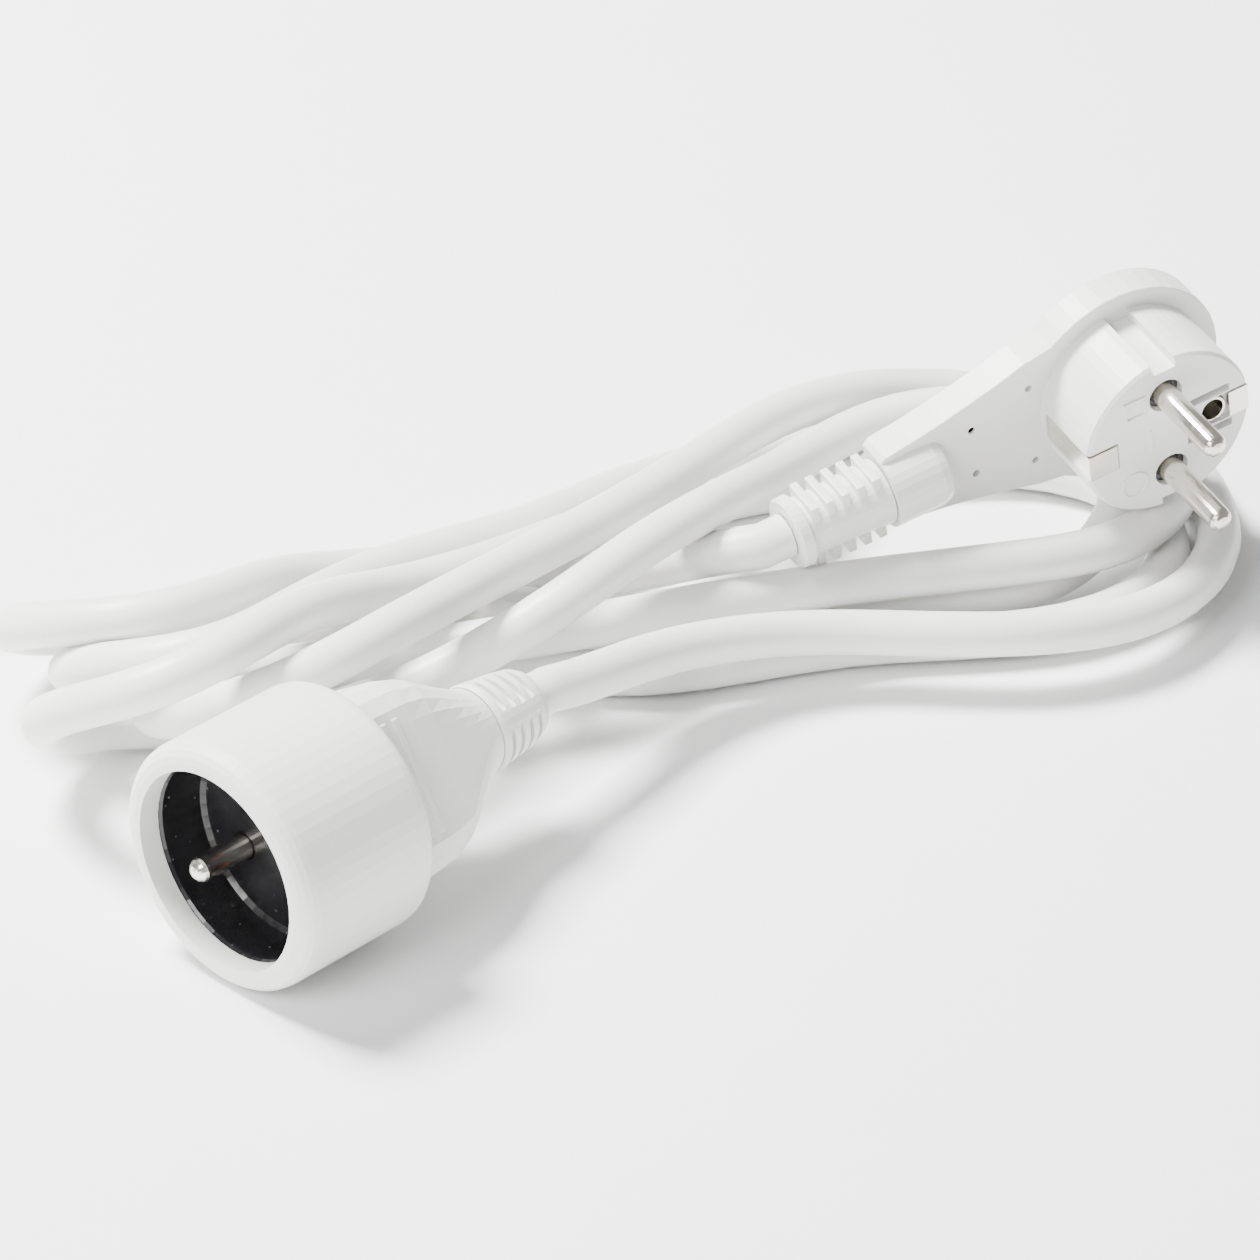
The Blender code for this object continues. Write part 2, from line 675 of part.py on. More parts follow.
plug_cuts = [mark_square_inner]
for number, side in enumerate((-1.0, 1.0), start=1):
    pin_y = side * 0.5 * PIN_PITCH
    plug_cuts.append(cylinder(
        "pin_hole_%d" % number, PIN_HOLE_R, -BRIDGE_REAR, 1.0 * MM, 0.0, pin_y, parent=plug))
    plug_cuts.append(cylinder(
        "pin_tail_%d" % number, 3.2 * MM, -20.0 * MM, -5.0 * MM, 0.0, pin_y, parent=plug))
    plug_cuts.append(box(
        "face_slot_%d" % number, (-13.8 * MM, -4.0 * MM),
        (side * 4.4 * MM - 0.9 * MM, side * 4.4 * MM + 0.9 * MM), (-6.0 * MM, 1.0 * MM), plug))
    plug_cuts.append(box(
        "face_slot_bend_%d" % number, (-5.6 * MM, -4.0 * MM),
        sorted((side * 1.9 * MM, side * 4.6 * MM)), (-6.0 * MM, 1.0 * MM), plug))
    plug_cuts.append(box(
        "guide_groove_%d" % number, (-2.5 * MM, 2.5 * MM),
        sorted((side * 15.6 * MM, side * 22.0 * MM)), (-PLUG_BODY_DEPTH, 1.0 * MM), plug))
    plug_cuts.append(box(
        "strap_side_%d" % number, sorted((side * (STRAP_SIDE - GAP), side * 22.0 * MM)),
        (-STRAP_HALF_WIDTH - GAP, STRAP_HALF_WIDTH + GAP), (-STRAP_BACK - STRAP_THICKNESS - GAP, 1.0 * MM), plug))
    plug_cuts.append(box(
        "strap_lip_%d" % number, sorted((side * (STRAP_LIP_INNER - GAP), side * 22.0 * MM)),
        (-STRAP_HALF_WIDTH - GAP, STRAP_HALF_WIDTH + GAP), (-STRAP_THICKNESS - GAP, 1.0 * MM), plug))
    for row, (hole_x, hole_y) in enumerate(((19.7 * MM, 9.2 * MM), (32.5 * MM, 5.5 * MM)), start=1):
        plug_cuts.append(cylinder(
            "arm_hole_%d_%d" % (number, row), 0.8 * MM, -PLUG_BODY_DEPTH - 1.4 * MM, -PLUG_BODY_DEPTH + 3.0 * MM,
            hole_x, side * hole_y, 12, plug))
plug_cuts += [
    box("strap_slot", (-20.0 * MM, 20.0 * MM), (-STRAP_HALF_WIDTH - GAP, STRAP_HALF_WIDTH + GAP),
        (-STRAP_BACK - STRAP_THICKNESS - GAP, -STRAP_BACK + GAP), plug),
    box("bridge_space", (-BRIDGE_HALF_WIDTH - GAP, BRIDGE_HALF_WIDTH + GAP),
        (-BRIDGE_HALF_LENGTH - GAP, BRIDGE_HALF_LENGTH + GAP),
        (-BRIDGE_REAR - GAP, -BRIDGE_FRONT + GAP), plug),
    cylinder("earth_hole", EARTH_HOLE_R, -SLEEVE_REAR - GAP, 1.0 * MM, EARTH_HOLE_X, 0.0, parent=plug),
    box("wire_space", (-3.4 * MM, 13.0 * MM), (-12.4 * MM, 12.4 * MM), (-22.3 * MM, -17.4 * MM), plug),
    box("wire_channel", (5.0 * MM, 46.0 * MM), (-5.4 * MM, 5.4 * MM), (-22.3 * MM, -17.6 * MM), plug),
    x_cylinder("core_bore", CORE_BORE_R, 39.0 * MM, ARM_END + 1.0 * MM, 0.0, -CORD_DEPTH, parent=plug),
    cylinder("earth_tail", 2.0 * MM, -20.0 * MM, -STRAP_BACK, 0.0, 0.0, parent=plug),
]
combine(body, plug_cuts)
smooth(body)

plug_relief = turned("plug_strain_relief", [
    (CORE_BORE_R, PLUG_RELIEF_END - GAP - ARM_END),
    (6.6 * MM, PLUG_RELIEF_END - GAP - ARM_END),
    (7.1 * MM, 19.6 * MM),
    (7.1 * MM, 17.6 * MM),
    (5.9 * MM, 17.0 * MM),
    (6.1 * MM, 8.0 * MM),
    (6.6 * MM, 0.0),
    (CORE_BORE_R, 0.0),
], parts, plug, PVC, segments=32, closed=True)
plug_relief.location = (ARM_END + GAP, 0.0, -CORD_DEPTH)
plug_relief.rotation_euler = (0.0, 0.5 * math.pi, 0.0)
relief_ribs = []
for row in range(PLUG_RELIEF_RIBS):
    x = ARM_END + 2.6 * MM + row * PLUG_RELIEF_PITCH
    relief_ribs.append(box(
        "plug_rib_%d" % (row + 1), (x - 0.85 * MM, x + 0.85 * MM), (-7.4 * MM, 7.4 * MM),
        (-CORD_DEPTH - 4.4 * MM, -CORD_DEPTH + 4.4 * MM), plug, 0.3 * MM))
combine(plug_relief, relief_ribs, 'UNION')
combine(plug_relief, [x_cylinder(
    "plug_relief_bore", CORE_BORE_R, ARM_END - 1.0 * MM, PLUG_RELIEF_END + 2.0 * MM, 0.0, -CORD_DEPTH, 32, plug)])
smooth(plug_relief)

bridge = box(
    "pin_bridge_block", (-BRIDGE_HALF_WIDTH, BRIDGE_HALF_WIDTH),
    (-BRIDGE_HALF_LENGTH, BRIDGE_HALF_LENGTH), (-BRIDGE_REAR, -BRIDGE_FRONT), plug, 0.4 * MM)
cutters.objects.unlink(bridge)
parts.objects.link(bridge)
bridge.name = "pin_bridge"
bridge.hide_render = False
bridge.display_type = 'TEXTURED'
bridge.data.materials.append(GREY)
combine(bridge, [
    cylinder("bridge_hole_1", PIN_R + GAP, -12.0 * MM, 1.0 * MM, 0.0, -0.5 * PIN_PITCH, parent=plug),
    cylinder("bridge_hole_2", PIN_R + GAP, -12.0 * MM, 1.0 * MM, 0.0, 0.5 * PIN_PITCH, parent=plug),
])
smooth(bridge)


def plug_pin(name, y):
    profile = [(0.0, PIN_LENGTH)]
    for step in range(1, 6):
        angle = 0.5 * math.pi * step / 5.0
        profile.append((PIN_R * math.sin(angle), PIN_LENGTH - 0.8 * PIN_R * (1.0 - math.cos(angle))))
    profile += [(PIN_R, -PIN_REAR), (0.0, -PIN_REAR)]
    made = turned(name, profile, parts, plug, NICKEL, segments=24)
    made.location = (0.0, y, 0.0)
    smooth(made)


plug_pin("line_pin", -0.5 * PIN_PITCH)
plug_pin("neutral_pin", 0.5 * PIN_PITCH)

strap_outline = [
    (STRAP_LIP_INNER, 0.25 * MM),
    (STRAP_SIDE + STRAP_THICKNESS, 0.25 * MM),
    (STRAP_SIDE + STRAP_THICKNESS, -STRAP_BACK - STRAP_THICKNESS),
    (-STRAP_SIDE - STRAP_THICKNESS, -STRAP_BACK - STRAP_THICKNESS),
    (-STRAP_SIDE - STRAP_THICKNESS, 0.25 * MM),
    (-STRAP_LIP_INNER_EARTH, 0.25 * MM),
    (-STRAP_LIP_INNER_EARTH, 0.25 * MM - STRAP_THICKNESS),
    (-STRAP_SIDE, 0.25 * MM - STRAP_THICKNESS),
    (-STRAP_SIDE, -STRAP_BACK),
    (STRAP_SIDE, -STRAP_BACK),
    (STRAP_SIDE, 0.25 * MM - STRAP_THICKNESS),
    (STRAP_LIP_INNER, 0.25 * MM - STRAP_THICKNESS),
]
strap = plate(
    "earth_strap", strap_outline, -STRAP_HALF_WIDTH, STRAP_HALF_WIDTH, plug, parts, NICKEL)
strap.location = (0.0, 0.0, 0.0)
strap.rotation_euler = (0.5 * math.pi, 0.0, 0.0)

sleeve = turned("earth_sleeve", [
    (SLEEVE_BORE_R, -SLEEVE_FRONT),
    (SLEEVE_R, -SLEEVE_FRONT),
    (SLEEVE_R, -SLEEVE_REAR),
    (SLEEVE_BORE_R, -SLEEVE_REAR),
], parts, plug, NICKEL, segments=24, closed=True)
sleeve.location = (EARTH_HOLE_X, 0.0, 0.0)
combine(sleeve, [box(
    "sleeve_slit", (EARTH_HOLE_X, EARTH_HOLE_X + 5.0 * MM), (-0.3 * MM, 0.3 * MM),
    (-9.0 * MM, 1.0 * MM), plug)])
smooth(sleeve)


def plug_core(name, start, number, mat, lift):
    angle_y, angle_z = bundle_offset(number)
    route = (
        start,
        (start[0], start[1], start[2] - 2.2 * MM),
        (start[0] + 3.0 * MM, 0.8 * start[1], -20.0 * MM),
        (12.0 * MM, lift, -20.0 * MM),
        (26.0 * MM, lift, -20.0 * MM),
        (37.0 * MM, 0.9 * lift, -20.0 * MM),
        (46.0 * MM, angle_y, -CORD_DEPTH + 0.9 * angle_z),
        (58.0 * MM, angle_y, -CORD_DEPTH + angle_z),
        (PLUG_RELIEF_END - 0.5 * MM, angle_y, -CORD_DEPTH + angle_z),
    )
    smooth(tube(name, smooth_curve(route, lambda span: 3), CORE_R, parts, plug, mat))


plug_core("plug_core_line", (0.0, -0.5 * PIN_PITCH, -PIN_REAR - GAP), 1, BROWN, -3.2 * MM)
plug_core("plug_core_neutral", (0.0, 0.5 * PIN_PITCH, -PIN_REAR - GAP), 2, BLUE, 3.2 * MM)
plug_core("plug_core_earth", (0.0, 0.0, -STRAP_BACK - STRAP_THICKNESS - GAP), 0, GREEN, 0.0)

# --------------------------------------------------------------------------
# cord, a loose hank beside the socket; the route is in millimetres in the
# hank's own frame, whose X runs across the hank
# --------------------------------------------------------------------------
def ring(centre, across, up, radius, angles, heights=None):
    """Points on a circle; heights puts them at stated heights instead."""
    found = []
    for place, degrees in enumerate(angles):
        angle = math.radians(degrees)
        point = [
            middle + radius * (math.cos(angle) * u + math.sin(angle) * v)
            for middle, u, v in zip(centre, across, up)]
        if heights is not None:
            point[2] = heights[place]
        found.append(tuple(point))
    return found


def thinned(points, longest, turn):
    """Keep a point wherever the line has run far enough or turned enough."""
    kept = [points[0]]
    heading = (points[1] - points[0]).normalized()
    run = 0.0
    for before, here, after in zip(points, points[1:], points[2:]):
        run += (here - before).length
        direction = (after - here).normalized()
        if run >= longest or heading.angle(direction) >= turn:
            kept.append(here)
            heading = direction
            run = 0.0
    return kept + [points[-1]]


EAST = (1.0, 0.0, 0.0)
NORTH = (0.0, 1.0, 0.0)

first_loop = [
    (-10, -53, 22), (4, -37, 17.5), (32, -21, 12.5), (70, -21, 12.3), (96, -11, 10.5),
    (111, 13, 8), (112, 39, 6), (101, 65, 5), (77, 79, 5),
    (43, 66, 13.5), (13, 27, 21), (-17, -17, 27.5), (-43, -51, 32), (-66, -68, 29),
]
second_loop = [
    (-85, -56, 17), (-80, -32, 8.5), (-62, -21.5, 5.4), (-38, -23, 10), (-5, -19.5, 13.7),
    (32, -6.5, 13), (70, 2, 13.3),
    *ring((75, 35, 0), EAST, NORTH, 30.5, (-55, -18, 20, 60), (13.5, 13.5, 12.6, 7.5)),
    (50, 65, 5.0), (24, 57.5, 5.0), (-3, 37, 8.5), (-23, 10, 15.5), (-42, -8, 20), (-62, -39, 28),
    (-78, -59, 32),
    *ring((-74.5, -40, 21.2), (-0.986, -0.088, -0.14), (0, -0.814, 0.581), 27, (15, -25, -62)),
]
third_loop = [
    (-62, -9, 5.4), (-32, -14, 5.0), (-4, -23, 5.0), (41, -13, 5.0),
    *ring((73.5, 22.5, 0), EAST, NORTH, 29.5, (-60, -20, 20, 60), (5.0, 5.0, 5.0, 5.0)),
    (42, 48, 5.0), (14, 38, 5.2), (-9, 14.5, 13.2), (-25, -4.5, 18), (-43, -25, 24.5),
    (-61, -55, 37), (-82, -79, 38.5),
    *ring((-78.5, -58, 23.4), (-0.973, -0.122, -0.195), (0, -0.759, 0.652), 27, (15, -25, -57)),
]
fourth_loop = [
    (-64, -43.5, 7.2), (-34, -39, 15.5), (-11, -30, 26), (3, -15.5, 28.5), (14, -1.5, 27.5),
    (32, 36, 15.8), (57, 59.5, 13.5),
    *ring((66.5, 34, 0), EAST, NORTH, 28, (45, 10, -25, -60), (13.5, 13.5, 10.0, 6.0)),
    (46, 2.5, 5.0), (-5, -10.5, 5.0), (-28, -3.5, 5.0), (-52, 1.5, 6.0),
    *ring((-86.5, -27, 21.0), (-0.991, -0.071, -0.114), (0, -0.812, 0.584), 27, (-60, -22, 15)),
    (-87.5, -49, 33.5),
]
run_to_plug = [
    (-66, -22, 24.5), (-46, 1, 13), (-30, 13, 7.2), (-14, 13, 6.0), (0, 3.6, 11.2),
    (11, -3.8, 18.2), (20, -6.2, 21.5),
]

hank_place = Matrix.Translation(HANK_ORIGIN) @ Matrix.Rotation(HANK_TURN, 4, 'Z')
socket_turn = socket.matrix_world.to_3x3()
plug_turn = plug.matrix_world.to_3x3()
socket_way = -(socket_turn @ Vector((0.0, 0.0, 1.0)))
plug_way = -(plug_turn @ Vector((1.0, 0.0, 0.0)))
cord_start = socket.matrix_world @ Vector((0.0, 0.0, -(SOCKET_LENGTH + GAP)))
cord_finish = plug.matrix_world @ Vector((PLUG_RELIEF_END + GAP, 0.0, -CORD_DEPTH))
route = [
    hank_place @ (Vector(point) * MM)
    for point in first_loop + second_loop + third_loop + fourth_loop + run_to_plug]
route = [cord_start + CORD_LEAD * socket_way] + route
route.append(cord_finish - CORD_LEAD * plug_way)
line = thinned(smooth_curve(route, lambda span: 24), CORD_LONGEST_STEP, CORD_LARGEST_TURN)
line = [cord_start] + line + [cord_finish]
smooth(tube("cord", line, CORD_R, parts, None, PVC, resolution=3))
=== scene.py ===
import json
import math

import bmesh
import bpy
from mathutils import Matrix, Vector


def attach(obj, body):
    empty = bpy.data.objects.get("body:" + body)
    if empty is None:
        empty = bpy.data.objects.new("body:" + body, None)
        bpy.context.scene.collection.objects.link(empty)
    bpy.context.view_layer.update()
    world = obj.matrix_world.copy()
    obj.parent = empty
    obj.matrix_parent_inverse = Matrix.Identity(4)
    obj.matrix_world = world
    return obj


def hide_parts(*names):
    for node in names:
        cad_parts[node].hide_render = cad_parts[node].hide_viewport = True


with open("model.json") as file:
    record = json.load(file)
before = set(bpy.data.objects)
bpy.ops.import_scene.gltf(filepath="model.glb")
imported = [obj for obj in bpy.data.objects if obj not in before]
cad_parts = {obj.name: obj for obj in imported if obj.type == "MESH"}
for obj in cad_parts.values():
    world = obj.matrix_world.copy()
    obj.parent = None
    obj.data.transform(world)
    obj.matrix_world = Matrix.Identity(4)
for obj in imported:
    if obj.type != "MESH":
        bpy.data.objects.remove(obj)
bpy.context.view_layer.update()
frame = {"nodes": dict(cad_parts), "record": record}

MM = 0.001
nodes = frame["nodes"]

# --------------------------------------------------------------------------
# camera, at the photograph's angle
# --------------------------------------------------------------------------
HANK_ORIGIN = Vector((95.0, 29.7, 0.0)) * MM
EYE = Vector((-634.7, -679.6, 635.9)) * MM
LENS_MM = 181.4
SENSOR_MM = 36.0
lens = bpy.data.cameras.new("view_camera")
lens.lens = LENS_MM
lens.sensor_width = SENSOR_MM
lens.clip_start = 0.01
lens.dof.use_dof = False
camera = bpy.data.objects.new("view_camera", lens)
bpy.context.scene.collection.objects.link(camera)
camera.location = EYE
camera.rotation_euler = (HANK_ORIGIN - EYE).to_track_quat('-Z', 'Y').to_euler()
bpy.context.scene.camera = camera


# --------------------------------------------------------------------------
# cord: the same route as the CAD solid, in millimetres in the hank's frame
# --------------------------------------------------------------------------
def ring(centre, across, up, radius, angles, heights=None):
    """Points on a circle; heights puts them at stated heights instead."""
    found = []
    for place, degrees in enumerate(angles):
        angle = math.radians(degrees)
        point = [
            middle + radius * (math.cos(angle) * u + math.sin(angle) * v)
            for middle, u, v in zip(centre, across, up)]
        if heights is not None:
            point[2] = heights[place]
        found.append(tuple(point))
    return found


def smooth_curve(points, steps):
    """Natural cubic through the points."""
    knots = [Vector(point) for point in points]
    spans = [(second - first).length for first, second in zip(knots, knots[1:])]
    size = len(knots)
    upper = [0.0] * size
    known = [Vector((0.0, 0.0, 0.0)) for _ in range(size)]
    for i in range(1, size - 1):
        before = spans[i - 1]
        after = spans[i]
        slope = (knots[i + 1] - knots[i]) / after - (knots[i] - knots[i - 1]) / before
        pivot = 2.0 * (before + after) - before * upper[i - 1]
        upper[i] = after / pivot
        known[i] = (6.0 * slope - before * known[i - 1]) / pivot
    second = [Vector((0.0, 0.0, 0.0)) for _ in range(size)]
    for i in range(size - 2, 0, -1):
        second[i] = known[i] - upper[i] * second[i + 1]
    curve = []
    for i in range(size - 1):
        span = spans[i]
        for step in range(steps):
            t = step / steps
            a = 1.0 - t
            bend = ((a ** 3 - a) * second[i] + (t ** 3 - t) * second[i + 1]) * span * span / 6.0
            curve.append(a * knots[i] + t * knots[i + 1] + bend)
    curve.append(knots[-1].copy())
    return curve


EAST = (1.0, 0.0, 0.0)
NORTH = (0.0, 1.0, 0.0)
first_loop = [
    (-10, -53, 22), (4, -37, 17.5), (32, -21, 12.5), (70, -21, 12.3), (96, -11, 10.5),
    (111, 13, 8), (112, 39, 6), (101, 65, 5), (77, 79, 5),
    (43, 66, 13.5), (13, 27, 21), (-17, -17, 27.5), (-43, -51, 32), (-66, -68, 29),
]
second_loop = [
    (-85, -56, 17), (-80, -32, 8.5), (-62, -21.5, 5.4), (-38, -23, 10), (-5, -19.5, 13.7),
    (32, -6.5, 13), (70, 2, 13.3),
    *ring((75, 35, 0), EAST, NORTH, 30.5, (-55, -18, 20, 60), (13.5, 13.5, 12.6, 7.5)),
    (50, 65, 5.0), (24, 57.5, 5.0), (-3, 37, 8.5), (-23, 10, 15.5), (-42, -8, 20), (-62, -39, 28),
    (-78, -59, 32),
    *ring((-74.5, -40, 21.2), (-0.986, -0.088, -0.14), (0, -0.814, 0.581), 27, (15, -25, -62)),
]
third_loop = [
    (-62, -9, 5.4), (-32, -14, 5.0), (-4, -23, 5.0), (41, -13, 5.0),
    *ring((73.5, 22.5, 0), EAST, NORTH, 29.5, (-60, -20, 20, 60), (5.0, 5.0, 5.0, 5.0)),
    (42, 48, 5.0), (14, 38, 5.2), (-9, 14.5, 13.2), (-25, -4.5, 18), (-43, -25, 24.5),
    (-61, -55, 37), (-82, -79, 38.5),
    *ring((-78.5, -58, 23.4), (-0.973, -0.122, -0.195), (0, -0.759, 0.652), 27, (15, -25, -57)),
]
fourth_loop = [
    (-64, -43.5, 7.2), (-34, -39, 15.5), (-11, -30, 26), (3, -15.5, 28.5), (14, -1.5, 27.5),
    (32, 36, 15.8), (57, 59.5, 13.5),
    *ring((66.5, 34, 0), EAST, NORTH, 28, (45, 10, -25, -60), (13.5, 13.5, 10.0, 6.0)),
    (46, 2.5, 5.0), (-5, -10.5, 5.0), (-28, -3.5, 5.0), (-52, 1.5, 6.0),
    *ring((-86.5, -27, 21.0), (-0.991, -0.071, -0.114), (0, -0.812, 0.584), 27, (-60, -22, 15)),
    (-87.5, -49, 33.5),
]
run_to_plug = [
    (-66, -22, 24.5), (-46, 1, 13), (-30, 13, 7.2), (-14, 13, 6.0), (0, 3.6, 11.2),
    (11, -3.8, 18.2), (20, -6.2, 21.5),
]

CORD_D = 8.6 * MM
CORD_SIDES_DETAIL = 5
STEPS_PER_SPAN = 7
LEAD = 5.0 * MM
HANK_TURN = math.radians(-45.83)
SOCKET_EXIT = Vector((38.3, 0.0, 23.5)) * MM
SOCKET_WAY = Vector((1.0, 0.0, 0.0))
PLUG_FACE = Vector((174.3, -34.2, 36.0)) * MM
PLUG_EXIT_IN_PLUG = Vector((72.6, 0.0, -18.5)) * MM
WELD_DISTANCE = 0.000001
CAP_EDGE = math.radians(50.0)

pin_way = Vector((-0.290, -0.947, -0.136)).normalized()
arm_way = Vector((-0.926, 0.3135, -0.208))
arm_way = (arm_way - arm_way.dot(pin_way) * pin_way).normalized()
plug_place = Matrix.Translation(PLUG_FACE) @ Matrix(
    (arm_way, pin_way.cross(arm_way), pin_way)).transposed().to_4x4()
plug_exit = plug_place @ PLUG_EXIT_IN_PLUG
hank_place = Matrix.Translation(HANK_ORIGIN) @ Matrix.Rotation(HANK_TURN, 4, 'Z')
route = [
    hank_place @ (Vector(point) * MM)
    for point in first_loop + second_loop + third_loop + fourth_loop + run_to_plug]
route = [SOCKET_EXIT + LEAD * SOCKET_WAY] + route + [plug_exit + LEAD * arm_way]
line = [SOCKET_EXIT] + smooth_curve(route, STEPS_PER_SPAN) + [plug_exit]

data = bpy.data.curves.new("mains_cord", 'CURVE')
data.dimensions = '3D'
data.bevel_depth = 0.5 * CORD_D
data.bevel_resolution = CORD_SIDES_DETAIL
data.use_fill_caps = True
data.twist_mode = 'MINIMUM'
strand = data.splines.new('POLY')
strand.points.add(len(line) - 1)
for place, point in zip(strand.points, line):
    place.co = (*point, 1.0)
strand.use_smooth = True
pattern = bpy.data.objects.new("cord_line", data)
bpy.context.scene.collection.objects.link(pattern)
bpy.context.view_layer.update()
skin = bpy.data.meshes.new_from_object(
    pattern.evaluated_get(bpy.context.evaluated_depsgraph_get()))
bpy.data.objects.remove(pattern, do_unlink=True)
bm = bmesh.new()
bm.from_mesh(skin)
bmesh.ops.remove_doubles(bm, verts=bm.verts, dist=WELD_DISTANCE)
bmesh.ops.recalc_face_normals(bm, faces=bm.faces)
bm.to_mesh(skin)
bm.free()
skin.shade_smooth()
skin.set_sharp_from_angle(angle=CAP_EDGE)
skin.materials.clear()
cord = bpy.data.objects.new("mains_cord", skin)
bpy.context.scene.collection.objects.link(cord)
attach(cord, "cord_set")
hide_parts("cord")


# --------------------------------------------------------------------------
# materials
# --------------------------------------------------------------------------
def start(name):
    """A new material, its nodes, its shader and the place on the object."""
    made = bpy.data.materials.new(name)
    made.use_nodes = True
    tree = made.node_tree
    shader = tree.nodes["Principled BSDF"]
    place = tree.nodes.new('ShaderNodeTexCoord')
    return made, tree, shader, place.outputs['Object']


def noise(tree, where, scale, detail=3.0, rough=0.5):
    made = tree.nodes.new('ShaderNodeTexNoise')
    made.inputs['Scale'].default_value = scale
    made.inputs['Detail'].default_value = detail
    made.inputs['Roughness'].default_value = rough
    tree.links.new(where, made.inputs['Vector'])
    return made.outputs['Fac']


def ramp(tree, value, stops):
    made = tree.nodes.new('ShaderNodeValToRGB')
    band = made.color_ramp
    while len(band.elements) < len(stops):
        band.elements.new(0.5)
    for element, (place, colour) in zip(band.elements, stops):
        element.position = place
        element.color = (*colour, 1.0) if len(colour) == 3 else colour
    tree.links.new(value, made.inputs['Fac'])
    return made.outputs['Color']


def spread(tree, value, low, high):
    made = tree.nodes.new('ShaderNodeMapRange')
    made.inputs['To Min'].default_value = low
    made.inputs['To Max'].default_value = high
    tree.links.new(value, made.inputs['Value'])
    return made.outputs['Result']


def bump(tree, shader, height, strength, distance):
    made = tree.nodes.new('ShaderNodeBump')
    made.inputs['Strength'].default_value = strength
    made.inputs['Distance'].default_value = distance
    tree.links.new(height, made.inputs['Height'])
    tree.links.new(made.outputs['Normal'], shader.inputs['Normal'])


def vinyl(name, light, dark, roughness, grain=900.0, depth=0.25):
    """Soft moulded vinyl: faint mottling, a fine grain and uneven sheen."""
    made, tree, shader, where = start(name)
    tree.links.new(
        ramp(tree, noise(tree, where, 38.0, 4.0), [(0.30, dark), (0.62, light)]),
        shader.inputs['Base Color'])
    tree.links.new(
        spread(tree, noise(tree, where, 160.0, 3.0), roughness - 0.06, roughness + 0.08),
        shader.inputs['Roughness'])
    bump(tree, shader, noise(tree, where, grain, 4.0, 0.6), depth, 0.00005)
    shader.inputs['Subsurface Weight'].default_value = 0.04
    shader.inputs['Subsurface Radius'].default_value = (0.004, 0.004, 0.004)
    shader.inputs['Subsurface Scale'].default_value = 0.5
    return made


def gloss(name, light, dark, roughness, dust=0.0):
    """Hard moulded plastic, with a scatter of fine dust where asked."""
    made, tree, shader, where = start(name)
    body = ramp(tree, noise(tree, where, 120.0, 3.0), [(0.35, dark), (0.65, light)])
    if dust > 0.0:
        specks = tree.nodes.new('ShaderNodeTexVoronoi')
        specks.inputs['Scale'].default_value = 520.0
        tree.links.new(where, specks.inputs['Vector'])
        mask = ramp(tree, specks.outputs['Distance'], [(0.0, (dust,) * 3), (0.16, (0.0,) * 3)])
        patch = ramp(tree, noise(tree, where, 210.0, 2.0), [(0.50, (0.0,) * 3), (0.62, (1.0,) * 3)])
        both = tree.nodes.new('ShaderNodeMix')
        both.data_type = 'RGBA'
        both.blend_type = 'MULTIPLY'
        both.inputs[0].default_value = 1.0
        tree.links.new(mask, both.inputs[6])
        tree.links.new(patch, both.inputs[7])
        mix = tree.nodes.new('ShaderNodeMix')
        mix.data_type = 'RGBA'
        tree.links.new(both.outputs[2], mix.inputs[0])
        tree.links.new(body, mix.inputs[6])
        mix.inputs[7].default_value = (0.55, 0.55, 0.56, 1.0)
        body = mix.outputs[2]
    tree.links.new(body, shader.inputs['Base Color'])
    tree.links.new(
        spread(tree, noise(tree, where, 300.0, 3.0), roughness - 0.05, roughness + 0.07),
        shader.inputs['Roughness'])
    bump(tree, shader, noise(tree, where, 700.0, 2.0), 0.08, 0.00004)
    return made


def metal(name, light, dark, roughness):
    """Plated or rolled metal: faint tone shifts and fine wiping marks."""
    made, tree, shader, where = start(name)
    shader.inputs['Metallic'].default_value = 1.0
    tree.links.new(
        ramp(tree, noise(tree, where, 190.0, 4.0), [(0.32, dark), (0.60, light)]),
        shader.inputs['Base Color'])
    stretch = tree.nodes.new('ShaderNodeMapping')
    stretch.inputs['Scale'].default_value = (900.0, 900.0, 140.0)
    tree.links.new(where, stretch.inputs['Vector'])
    marks = noise(tree, stretch.outputs['Vector'], 1.0, 4.0, 0.65)
    tree.links.new(spread(tree, marks, roughness - 0.08, roughness + 0.12), shader.inputs['Roughness'])
    bump(tree, shader, marks, 0.10, 0.00003)
    return made


white = vinyl("white_moulded_vinyl", (0.80, 0.80, 0.785), (0.755, 0.755, 0.735), 0.36)
sheath = vinyl("white_cord_sheath", (0.80, 0.80, 0.78), (0.75, 0.75, 0.725), 0.38, 700.0, 0.35)
finishes = {
    "white_pvc": white,
    "black_thermoplastic": gloss(
        "black_moulded", (0.016, 0.016, 0.018), (0.008, 0.008, 0.009), 0.20, 0.5),
    "red_thermoplastic": gloss("red_moulded", (0.50, 0.035, 0.02), (0.38, 0.02, 0.015), 0.34),
    "grey_thermoplastic": gloss("grey_moulded", (0.12, 0.12, 0.13), (0.08, 0.08, 0.09), 0.45),
    "brown_insulation": vinyl("brown_core", (0.15, 0.06, 0.025), (0.10, 0.04, 0.015), 0.45),
    "blue_insulation": vinyl("blue_core", (0.03, 0.14, 0.48), (0.02, 0.09, 0.36), 0.45),
    "green_yellow_insulation": vinyl("green_core", (0.16, 0.46, 0.07), (0.09, 0.33, 0.04), 0.45),
    "nickel_plated_brass": metal("nickel_plate", (0.80, 0.77, 0.70), (0.70, 0.66, 0.58), 0.20),
    "brass": metal("rolled_brass", (0.80, 0.60, 0.30), (0.66, 0.46, 0.20), 0.28),
    "spring_steel": metal("drawn_steel", (0.62, 0.62, 0.64), (0.50, 0.50, 0.52), 0.28),
}
skin.materials.append(sheath)
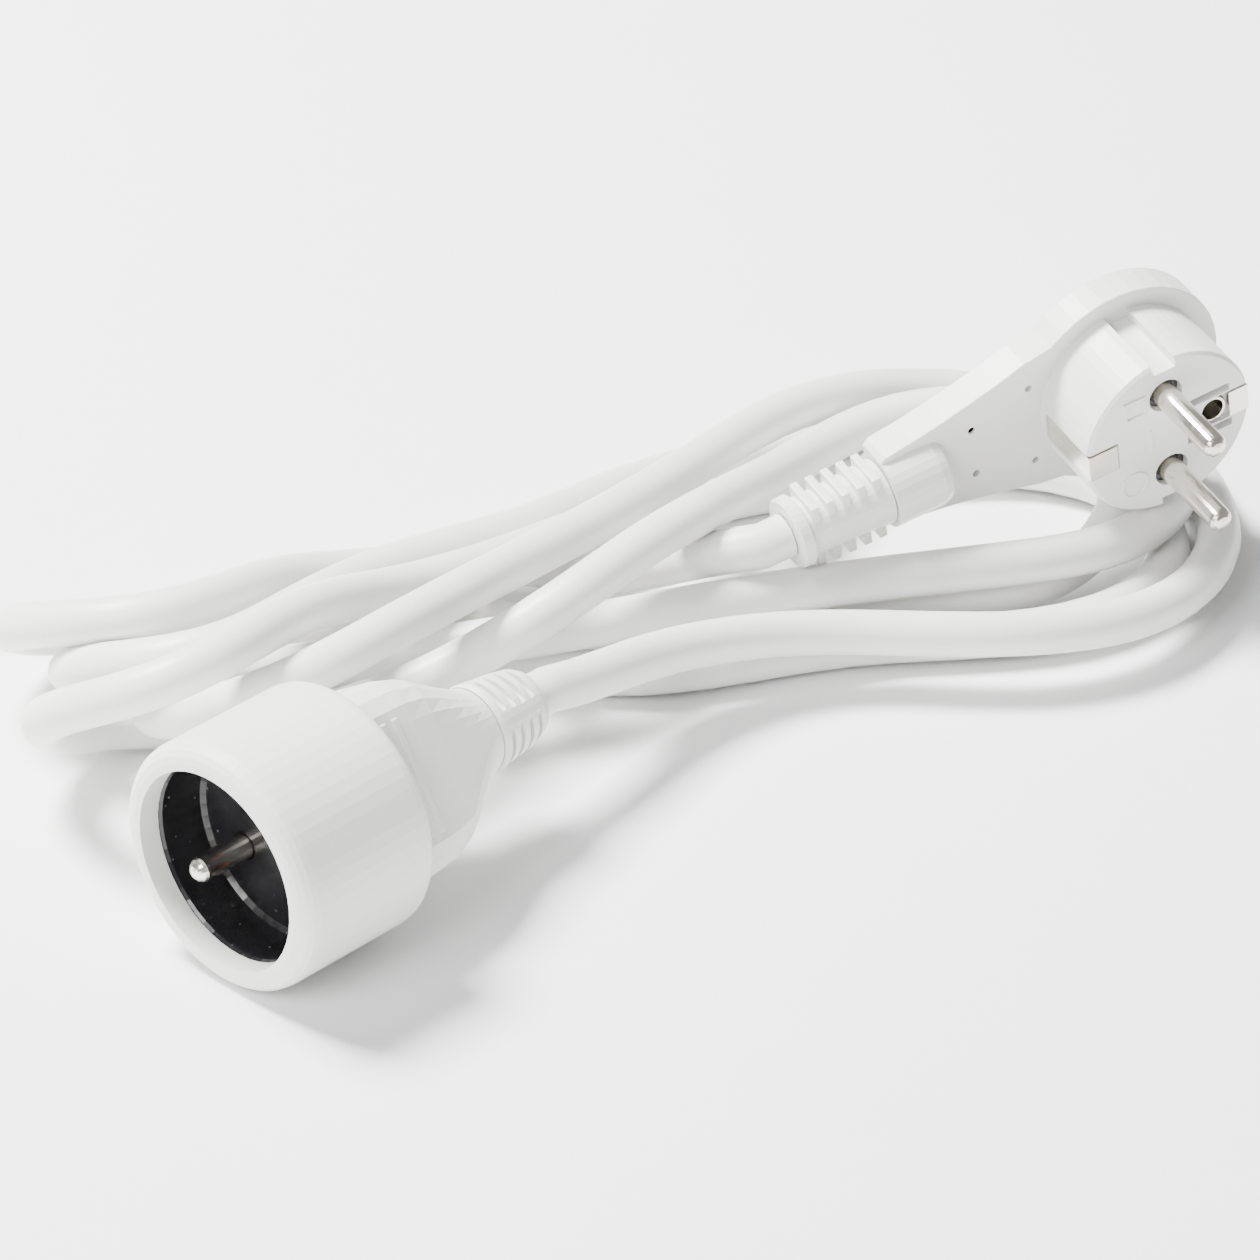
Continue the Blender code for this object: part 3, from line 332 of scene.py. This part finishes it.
slot_of = {row["node"]: row["material_slot"] for row in frame["record"]["subparts"]}
for name, obj in nodes.items():
    finish = finishes[slot_of[name]]
    for slot in obj.material_slots:
        slot.material = finish

# --------------------------------------------------------------------------
# floor, light and surroundings
# --------------------------------------------------------------------------
FLOOR_HALF_SIZE = 6.0
SKY_STRENGTH = 0.40
LIGHT_TARGET = Vector((0.095, 0.03, 0.0))

sheet = bpy.data.meshes.new("studio_floor")
bm = bmesh.new()
bmesh.ops.create_grid(bm, x_segments=1, y_segments=1, size=FLOOR_HALF_SIZE)
bm.to_mesh(sheet)
bm.free()
floor = bpy.data.objects.new("studio_floor", sheet)
bpy.context.scene.collection.objects.link(floor)
paper, tree, shader, where = start("white_paper")
tree.links.new(
    ramp(
        tree, noise(tree, where, 60.0, 4.0),
        [(0.3, (0.93, 0.93, 0.935)), (0.7, (0.94, 0.94, 0.945))]),
    shader.inputs['Base Color'])
shader.inputs['Roughness'].default_value = 0.9
shader.inputs['Specular IOR Level'].default_value = 0.1
sheet.materials.append(paper)

sky = bpy.data.worlds.new("studio")
bpy.context.scene.world = sky
sky.use_nodes = True
sky.node_tree.nodes["Background"].inputs["Color"].default_value = (1.0, 1.0, 1.0, 1.0)
sky.node_tree.nodes["Background"].inputs["Strength"].default_value = SKY_STRENGTH


def softbox(name, place, power, size, colour=(1.0, 1.0, 1.0)):
    """A rectangular soft light that faces the middle of the hank."""
    lamp = bpy.data.lights.new(name, 'AREA')
    lamp.shape = 'RECTANGLE'
    lamp.size = size[0]
    lamp.size_y = size[1]
    lamp.energy = power
    lamp.color = colour
    made = bpy.data.objects.new(name, lamp)
    bpy.context.scene.collection.objects.link(made)
    made.location = place
    aim = LIGHT_TARGET - Vector(place)
    made.rotation_euler = aim.to_track_quat('-Z', 'Y').to_euler()


softbox("key_top", (-0.10, 0.60, 1.10), 78.0, (0.42, 0.42), (1.0, 0.995, 0.98))
softbox("fill_front", (-0.9, -0.2, 0.8), 13.0, (0.5, 0.5))
